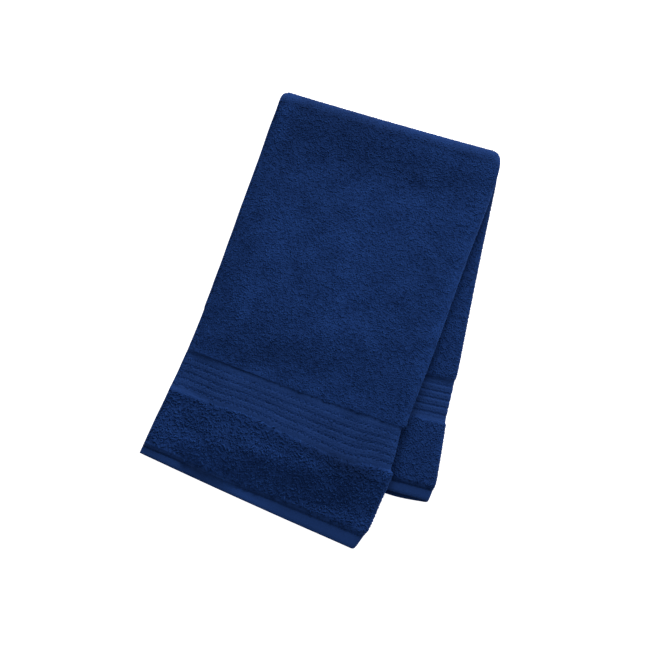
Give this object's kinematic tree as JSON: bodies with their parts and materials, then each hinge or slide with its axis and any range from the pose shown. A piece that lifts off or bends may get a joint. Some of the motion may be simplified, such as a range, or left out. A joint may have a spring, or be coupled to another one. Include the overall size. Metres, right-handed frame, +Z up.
{
  "type": "hand towel",
  "caption": "Terry hand towel folded lengthwise, then over across and a little askew, lying flat, with a ribbed woven border and a turned hem at each end.",
  "frame": {"origin": "on the surface the towel lies on, in the middle of its footprint", "axes": "+Y along the folded strip towards the top fold, +Z up, +X towards the lengthwise fold"},
  "size_m": [0.2946, 0.422, 0.025],
  "materials": {
    "navy_terry": "dark blue cotton terry, matt"
  },
  "bodies": {
    "root": {"towel": "navy_terry"}
  },
  "joints": []
}
